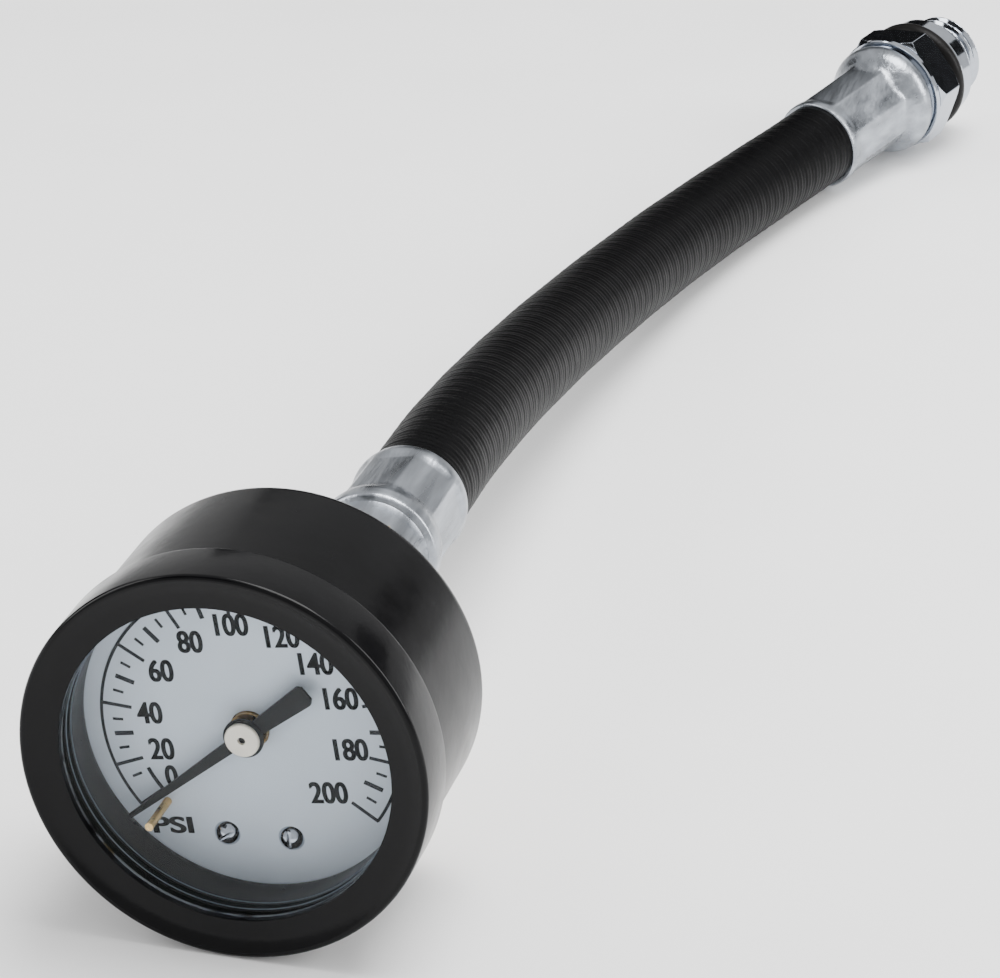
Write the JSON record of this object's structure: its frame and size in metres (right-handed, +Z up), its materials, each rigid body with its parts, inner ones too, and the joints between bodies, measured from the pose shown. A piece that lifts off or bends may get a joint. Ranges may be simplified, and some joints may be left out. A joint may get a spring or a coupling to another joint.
{
  "type": "hose-mounted dial pressure gauge",
  "caption": "Dial pressure gauge on a short stiff rubber hose with crimped ferrules and a threaded, O-ring-sealed end fitting.",
  "frame": {"origin": "bottom centre of the rigid gauge head and hose adapter, on the table", "axes": "+Z up, +Y from the dial toward the hose end, +X to the right as seen from the dial"},
  "size_m": [0.0562, 0.2737, 0.043],
  "materials": {
    "black_paint": "gloss",
    "clear_lens": "gloss",
    "black_rubber": "matte",
    "dial_white": "matte",
    "charcoal_paint": "satin",
    "cream_plastic": "gloss",
    "brass": "satin",
    "bright_chrome": "gloss",
    "ferrule_aluminium": "satin",
    "copper_washer": "satin"
  },
  "bodies": {
    "gauge_body": {"case": "black_paint", "bezel_ring": "black_paint", "lens": "clear_lens", "lens_gasket": "black_rubber", "dial_spacer_ring": "charcoal_paint", "dial_plate": "dial_white", "stop_pin": "brass", "dial_screws": "bright_chrome", "centre_bush": "brass", "movement_front_plate": "brass", "movement_back_plate": "brass", "plate_pillars": "brass", "dial_posts": "brass", "bourdon_tube": "brass", "socket": "brass", "seal_washer": "copper_washer", "hose_adapter": "brass", "near_ferrule": "ferrule_aluminium", "hose": "black_rubber", "far_ferrule": "ferrule_aluminium", "end_fitting": "bright_chrome", "end_seal": "black_rubber", "thread_seal": "black_rubber"},
    "pointer_body": {"pointer": "charcoal_paint", "pointer_hub": "charcoal_paint", "hub_cap": "cream_plastic", "pinion_arbor": "brass", "pinion": "brass"},
    "sector_body": {"sector_gear": "brass", "sector_arbor": "brass"},
    "tip_body": {"tube_tip": "brass"},
    "link_body": {"link": "brass"}
  },
  "joints": [
    {"name": "sector_swing", "type": "hinge", "parent": "gauge_body", "child": "sector_body", "pos_m": [0.0045, -0.018, 0.01371], "axis": [0, 1, 0], "range_deg": [-31.7, 0]},
    {"name": "pointer_spin", "type": "hinge", "parent": "gauge_body", "child": "pointer_body", "pos_m": [0, -0.022, 0.0215], "axis": [0, 1, 0], "range_deg": [0, 253.6]},
    {"name": "tip_swing", "type": "hinge", "parent": "gauge_body", "child": "tip_body", "pos_m": [0.00857, -0.0153, 0.02519], "axis": [0, 1, 0], "range_deg": [-7.35, 0]},
    {"name": "link_turn", "type": "hinge", "parent": "tip_body", "child": "link_body", "pos_m": [0.0129, -0.0166, 0.014], "axis": [0, 1, 0], "range_deg": [0, 6.66]}
  ],
  "couplings": [
    {"joint": "pointer_spin", "follows": "sector_swing", "ratio": -8},
    {"joint": "tip_swing", "follows": "sector_swing", "ratio": 0.23171},
    {"joint": "link_turn", "follows": "sector_swing", "ratio": -0.21024}
  ]
}
